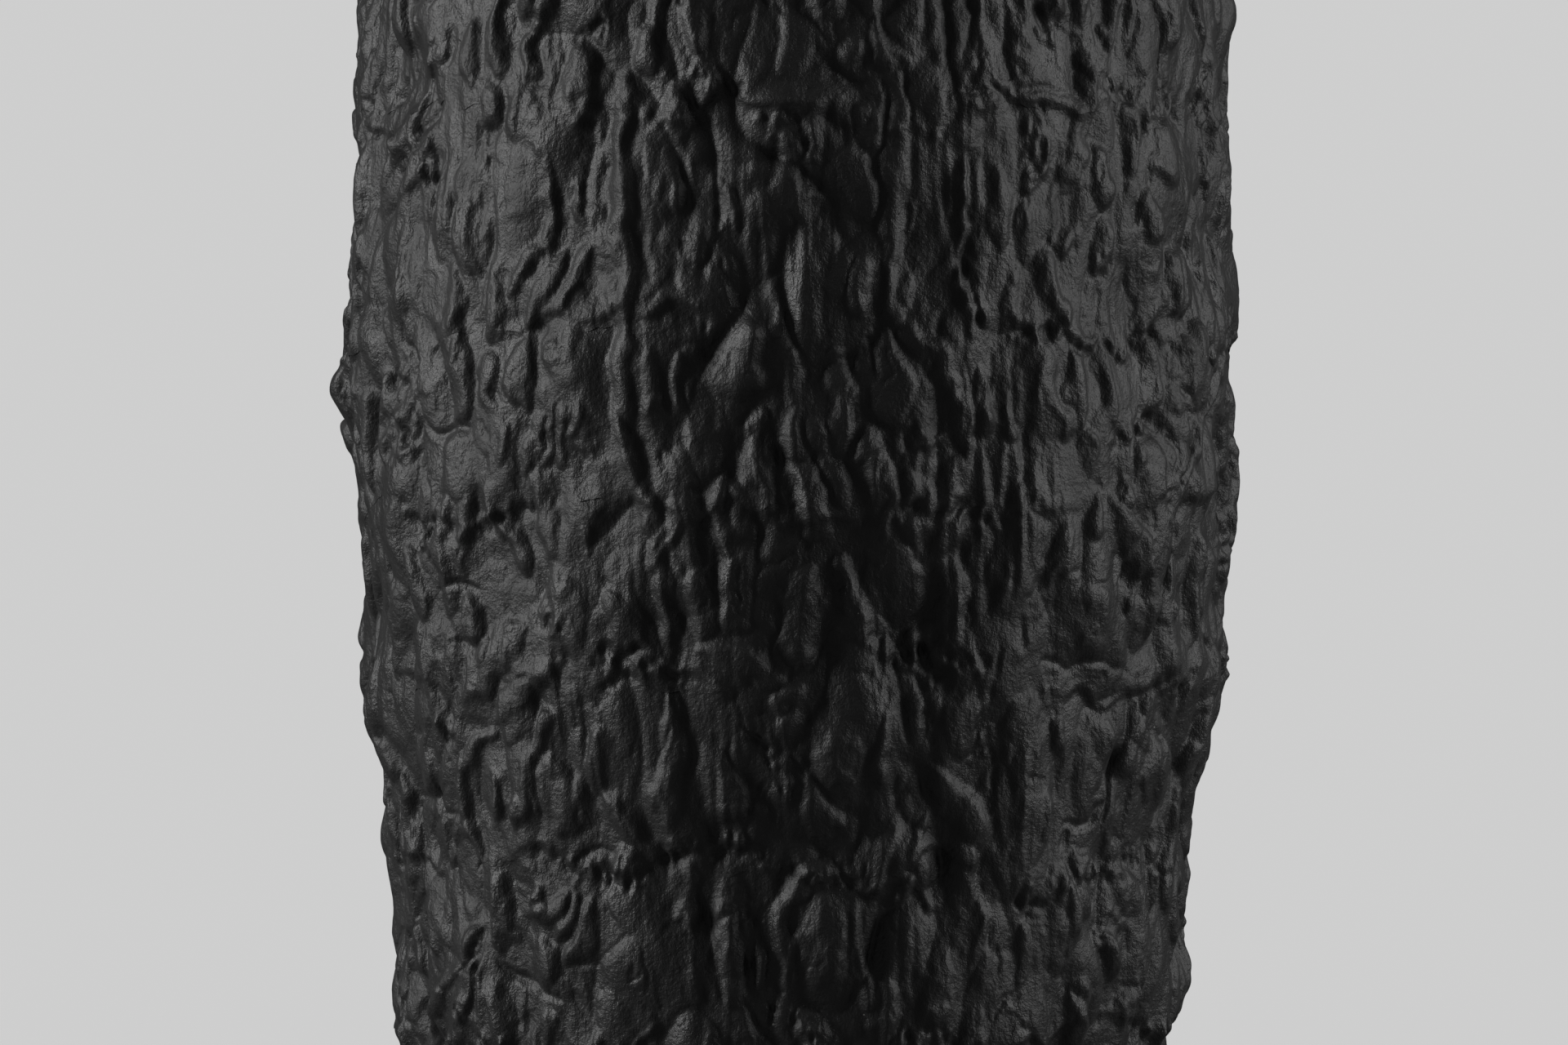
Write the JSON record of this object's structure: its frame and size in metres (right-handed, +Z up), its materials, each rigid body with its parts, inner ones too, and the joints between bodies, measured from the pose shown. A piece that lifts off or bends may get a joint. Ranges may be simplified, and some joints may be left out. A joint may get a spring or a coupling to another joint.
{
  "type": "vase",
  "caption": "Tall hand-built stoneware vase: stacked clay courses luted with lapped joints on a slab and foot ring, rounded lip, rough matt black outside, glazed inside.",
  "frame": {"origin": "centre of the foot ring's resting face", "axes": "+Z up along the vase's axis, from the foot to the mouth; +X and +Y are level and alike, because every piece is turned about Z"},
  "size_m": [0.2776, 0.2776, 0.56],
  "materials": {
    "stoneware": "unglazed matt black stoneware, grainy",
    "glaze": "gloss black liner glaze"
  },
  "bodies": {
    "root": {"foot_ring": "stoneware", "base_slab": "stoneware", "floor_coil": "stoneware", "wall_course_1": "stoneware", "wall_course_2": "stoneware", "wall_course_3": "stoneware", "wall_course_4": "stoneware", "wall_course_5": "stoneware", "wall_course_6": "stoneware", "wall_course_7": "stoneware", "wall_course_8": "stoneware", "wall_course_9": "stoneware", "rim_course": "stoneware", "glaze_lining": "glaze"}
  },
  "joints": []
}
